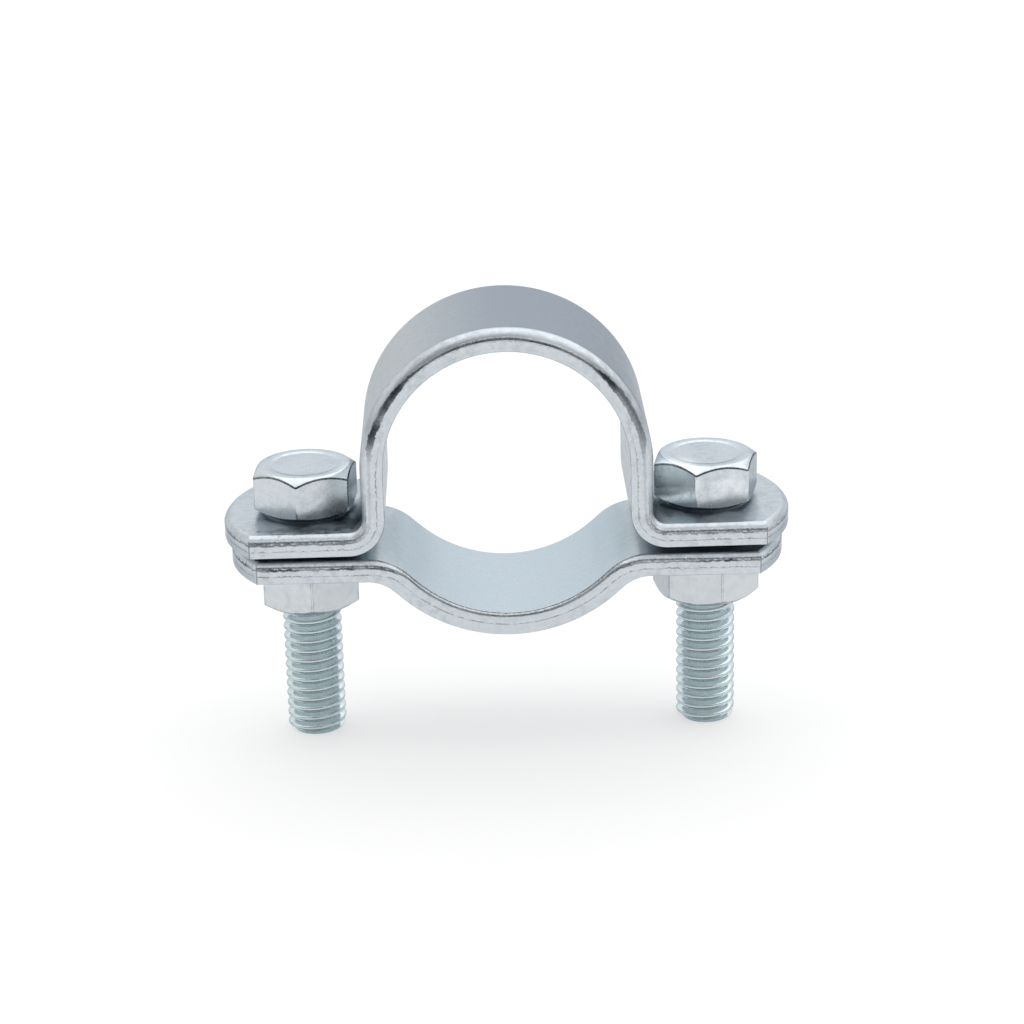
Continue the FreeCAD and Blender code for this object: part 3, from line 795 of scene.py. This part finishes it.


# The strip's sheared edge has a ragged dark streak under its rolled rim, partly rough fracture and
# partly painted dark reflection, a torn line below half its thickness and a dark line at the ear's
# corner. Its faces have a fine grain along them, are satin on the arch with painted light on its
# left and painted shade on its right, are darker inside the arch as painted shade, and are bluish
# in the dish.
def stripPattern(tree, colour, earCorner):
    place = stripPlace(tree)
    along, below, across = parts(tree, place)
    sideways, _, height = parts(tree, millimetres(tree))
    fromTop = maths(tree, "ABSOLUTE", along)
    fromAxis = maths(tree, "ABSOLUTE", across)

    a = archSatinLitLeft
    onArch = times(tree, fade(tree, fromTop, *a["along"]), fade(tree, below, *a["below"]),
                   fade(tree, fromAxis, *a["across"]), spread(tree, height, *a["height"]))
    # painted light on the arch's left, painted shade on its right
    satinLitLeft = mixed(tree, spread(tree, along, *a["turns"]), a["left"], a["right"])
    colour = mixed(tree, onArch, colour, satinLitLeft)
    # painted shade on the arch's inner faces
    i = shadeInsideArch
    inside = times(tree, spread(tree, below, *i["below"]),
                   fade(tree, fromAxis, *i["across"], i["share"]))
    colour = mixed(tree, inside, colour, zinc["strap"]["dull"])
    d = blueDish
    inDish = fade(tree, height, *d["height"])
    dishFace = times(tree, fade(tree, fromAxis, *d["across"]), fade(tree, below, *d["below"]))
    colour = mixed(tree, times(tree, inDish, dishFace), colour, d["tone"])
    g = grain
    lines = noise(tree, stretched(tree, place, g["stretch"]), *g["noise"])
    grainShade = times(tree, spread(tree, lines, *g["levels"], 0.0, g["share"]), upperFace(tree),
                       maths(tree, "MULTIPLY_ADD", inDish, -g["lessInDish"], 1.0))
    colour = mixed(tree, grainShade, colour, g["tone"])

    s = streakLine
    ragged = noise(tree, stretched(tree, place, s["stretch"]), *s["noise"])
    calm = spread(tree, fromTop, *s["calm"])
    uneven = times(tree, calm, maths(tree, "SUBTRACT", ragged, 0.5))
    level = maths(tree, "ADD", below, uneven)
    crown = times(tree, fade(tree, fromTop, *s["crown"]), spread(tree, height, *s["crownHeight"]))
    haunch = times(tree, spread(tree, fromTop, *s["haunch"]),
                   spread(tree, height, *s["haunchHeight"]))
    start = maths(tree, "ADD", level, haunch)
    start = maths(tree, "ADD", start, times(tree, crown, s["crownStart"]))
    dishStop = times(tree, fade(tree, height, *s["dishHeight"]), s["dishStop"])
    stop = maths(tree, "ADD", level, maths(tree, "MULTIPLY_ADD", crown, s["crownStop"], dishStop))
    slow = spread(tree, noise(tree, place, *s["slow"]), *s["slowLevels"])
    # ragged streak under the rim: partly rough fracture, partly painted dark reflection
    streakStrength = addNode(tree, "ShaderNodeAttribute", attribute_name="rimStreak").outputs["Fac"]
    streak = times(tree, spread(tree, start, *s["start"]), fade(tree, stop, *s["stop"]), slow, streakStrength)
    t = tornLine
    high = spread(tree, height, *t["archHeight"])
    onLeg = maths(tree, "MULTIPLY_ADD", high, -t["lessOnArch"], 1.0)
    tear = times(tree, spread(tree, level, *t["start"]), fade(tree, level, *t["stop"]),
                 spread(tree, ragged, *t["breaks"]), onLeg)
    c = cornerLine
    fromMiddle = maths(tree, "ABSOLUTE", sideways)
    fromCorner = maths(tree, "ABSOLUTE", maths(tree, "SUBTRACT", fromMiddle, earCorner))
    corner = times(tree, fade(tree, fromCorner, *c["reach"], c["share"]),
                   spread(tree, below, *c["below"]))
    dark = maths(tree, "MAXIMUM", maths(tree, "MAXIMUM", streak, tear), corner)
    return mixed(tree, dark, colour, bareSteelAndShade), lines


print("finishes")
# Painted light and shade in soft patches: centre and reach in millimetres, strength, tone and
# raggedness
strapLightAndShade = (
    # teal: painted shade on the ear tops in front of the heads
    ((-25.5, -6.5, 32.0), (8.0, 4.5, 4.0), 0.34, paintedTealShade, 1.5),
    ((24.0, -6.5, 32.0), (8.0, 4.5, 4.0), 0.26, paintedTealShade, 1.5),
    # pale: painted light on the legs
    ((-19.5, 0.0, 36.5), (2.4, 11.0, 5.5), 0.70, paintedLight, 0.3),
    ((19.5, 0.0, 36.5), (2.4, 11.0, 6.5), 1.0, paintedLight, 0.3),
    # teal: painted shade on the lower strap under the arch
    ((-14.0, 0.0, 25.5), (6.0, 14.0, 6.0), 0.35, paintedTealShade, 1.5),
    ((15.0, 0.0, 26.0), (5.0, 14.0, 5.0), 0.28, paintedTealShade, 1.5),
    # dark, ragged: painted shade at the legs' feet and in front of the left head
    ((-20.9, -6.6, 31.8), (2.8, 2.2, 2.4), 0.60, bareSteelAndShade, 3.0),
    ((22.0, -5.2, 31.8), (2.6, 2.8, 2.4), 0.50, bareSteelAndShade, 3.0),
    ((-27.0, -9.0, 31.8), (6.0, 1.6, 2.4), 0.40, bareSteelAndShade, 3.4),
)
# Painted light: pale patches on the heads' flats
headPaintedLight = (
    ((22.6, -4.8, 36.2), (3.4, 3.8, 4.0), 0.95, paintedLight, 0.3),
    ((-20.8, -3.0, 36.0), (3.0, 4.0, 3.2), 0.50, paintedLight, 0.3),
    ((29.8, -6.4, 34.4), (3.6, 2.6, 3.2), 0.42, paintedLight, 0.3),
)
upperZinc = makeZinc("upperStrapZinc", "strap", strapLightAndShade, onStrip=earCorner(upperStrap))
lowerZinc = makeZinc("lowerStrapZinc", "strap", strapLightAndShade, onStrip=earCorner(lowerStrap))
edgeDarkReflection = makeZinc("edgeDarkReflection", "edge")
nutEdgeDarkReflection = makeZinc("nutEdgeDarkReflection", "nutEdge")
boltZinc = makeZinc("boltZinc", "bolt", headPaintedLight, threaded=True)
nutZinc = makeZinc("nutZinc", "nut")
print("modelling the straps")
upper = makeUpperStrap()
lower = makeLowerStrap()
plate(upper, [upperZinc])
plate(lower, [lowerZinc])
print("modelling the bolts and nuts")
boltLeft = makeBolt([boltZinc, edgeDarkReflection])
boltRight = copyOf(boltLeft, "boltRightZinc")
nutLeft = makeNut([nutZinc, nutEdgeDarkReflection])
nutRight = copyOf(nutLeft, "nutRightZinc")
for side, x, boltPiece, nutPiece in (
    ("left", -boltX, boltLeft, nutLeft), ("right", boltX, boltRight, nutRight),
):
    settle(boltPiece, (x, 0, hexBolt["length"]), turn=hexBolt["turns"][side])
    settle(nutPiece, (x, 0, hexNut["tops"][side]), turn=hexNut["turns"][side])

for piece, body, slot in (
    (upper, "upper_strap", "strap_zinc"),
    (lower, "lower_strap", "strap_zinc"),
    (boltLeft, "bolt_left", "bolt_zinc"),
    (boltRight, "bolt_right", "bolt_zinc"),
    (nutLeft, "nut_left", "nut_zinc"),
    (nutRight, "nut_right", "nut_zinc"),
):
    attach(piece, body)
    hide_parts(body)
    print(piece.name, len(piece.data.polygons), "faces")

# Floor, light and camera
studio = {
    "floorRadius": 2600.0,
    "floorDrop": 0.03,       # the bolts stand this far above it
    "floorColour": 0.46,     # takes the lamps and the object's shadow
    "floorGlow": 0.53,       # and with this the paper shows white
    "tent": (0.42, 0.425, 0.43),
    "panel": (1.10, 1.10, 1.10),         # a long bright panel overhead, from side to side
    "panelBack": (0.40, 0.62),
    "panelFront": (-0.36, -0.18),
    "panelAbove": (0.02, 0.20),
    "backWall": (1.20, 1.205, 1.21),
    "wallFacing": (0.0, 0.94, 0.34),
    "wallReach": (0.55, 0.85),
    "room": (0.035, 0.045, 0.05),        # the dark room in front of the table
    "roomFacing": (0.0, -0.69, 0.72),
    "roomReach": (0.92, 0.98),
    "sunFrom": (0.22, 0.10, 1.0),
    "sunWidth": 95.0,
    "sunStrength": 0.95,
}
print("studio")
clearSelection()
bpy.ops.mesh.primitive_circle_add(vertices=96, radius=studio["floorRadius"] / 1000,
                                  fill_type="NGON", location=(0, 0, -studio["floorDrop"] / 1000))
floor = bpy.context.object
floor.name = "floor"
bpy.ops.object.transform_apply(location=True, rotation=True, scale=True)
paper = bpy.data.materials.new("paper")
paper.use_nodes = True
tree = paper.node_tree
lit = addNode(tree, "ShaderNodeBsdfDiffuse")
lit.inputs["Color"].default_value = (studio["floorColour"],) * 3 + (1,)
glow = addNode(tree, "ShaderNodeEmission")
rays = addNode(tree, "ShaderNodeLightPath").outputs
seen = maths(tree, "MAXIMUM", rays["Is Camera Ray"], rays["Is Glossy Ray"])
seen = maths(tree, "MAXIMUM", seen, rays["Is Transmission Ray"])
plug(tree, maths(tree, "MULTIPLY", seen, studio["floorGlow"]), glow.inputs["Strength"])
both = addNode(tree, "ShaderNodeAddShader")
plug(tree, lit.outputs["BSDF"], both.inputs[0])
plug(tree, glow.outputs["Emission"], both.inputs[1])
plug(tree, both.outputs["Shader"], tree.nodes["Material Output"].inputs["Surface"])
floor.data.materials.append(paper)

world = bpy.data.worlds.new("studio")
bpy.context.scene.world = world
world.use_nodes = True
sky = world.node_tree
facing = addNode(sky, "ShaderNodeTexCoord").outputs["Generated"]


def facingShare(aim, reach):
    toward = addNode(sky, "ShaderNodeVectorMath", operation="DOT_PRODUCT")
    plug(sky, facing, toward.inputs[0])
    toward.inputs[1].default_value = Vector(aim).normalized()
    return spread(sky, toward.outputs["Value"], *reach)


wall = facingShare(studio["wallFacing"], studio["wallReach"])
room = facingShare(studio["roomFacing"], studio["roomReach"])
_, depth, height = parts(sky, facing)
panel = times(sky, spread(sky, depth, *studio["panelFront"]),
              fade(sky, depth, *studio["panelBack"]), spread(sky, height, *studio["panelAbove"]))
around = mixed(sky, wall, studio["tent"], studio["backWall"])
around = mixed(sky, panel, around, studio["panel"])
around = mixed(sky, room, around, studio["room"])
plug(sky, around, sky.nodes["Background"].inputs["Color"])

softSun = bpy.data.lights.new("softOverhead", "SUN")
softSun.energy = studio["sunStrength"]
softSun.angle = math.radians(studio["sunWidth"])
lamp = bpy.data.objects.new("softOverhead", softSun)
lamp.rotation_euler = Vector(studio["sunFrom"]).to_track_quat("Z", "Y").to_euler()
bpy.context.collection.objects.link(lamp)

photoView = {
    "lens": 93.164, "film": 36.0, "distance": 355.19, "elevation": 20.30, "yaw": 0.87,
    "roll": 1.36, "aimX": 0.72, "aimZ": 30.20, "sees": (0.01, 20),      # from and to, in metres
}
v = photoView
rise = math.radians(v["elevation"])
swing = Matrix.Rotation(math.radians(-v["yaw"]), 3, "Z")
forward = swing @ Vector((0, math.cos(rise), -math.sin(rise)))
sideways = swing @ Vector((1, 0, 0))
upward = sideways.cross(forward)
roll = math.radians(v["roll"])
cameraX = sideways * math.cos(roll) - upward * math.sin(roll)
cameraY = sideways * math.sin(roll) + upward * math.cos(roll)
aim = swing @ Vector((v["aimX"], 0, 0)) + Vector((0, 0, v["aimZ"]))
lens = bpy.data.cameras.new("photoCamera")
lens.lens, lens.sensor_width, lens.sensor_fit = v["lens"], v["film"], "HORIZONTAL"
lens.clip_start, lens.clip_end = v["sees"]
camera = bpy.data.objects.new("photoCamera", lens)
bpy.context.collection.objects.link(camera)
pose = Matrix((cameraX, cameraY, -forward)).transposed().to_4x4()
pose.translation = (aim - forward * v["distance"]) / 1000
camera.matrix_world = pose
bpy.context.scene.camera = camera
bpy.context.scene.view_settings.view_transform = "Standard"
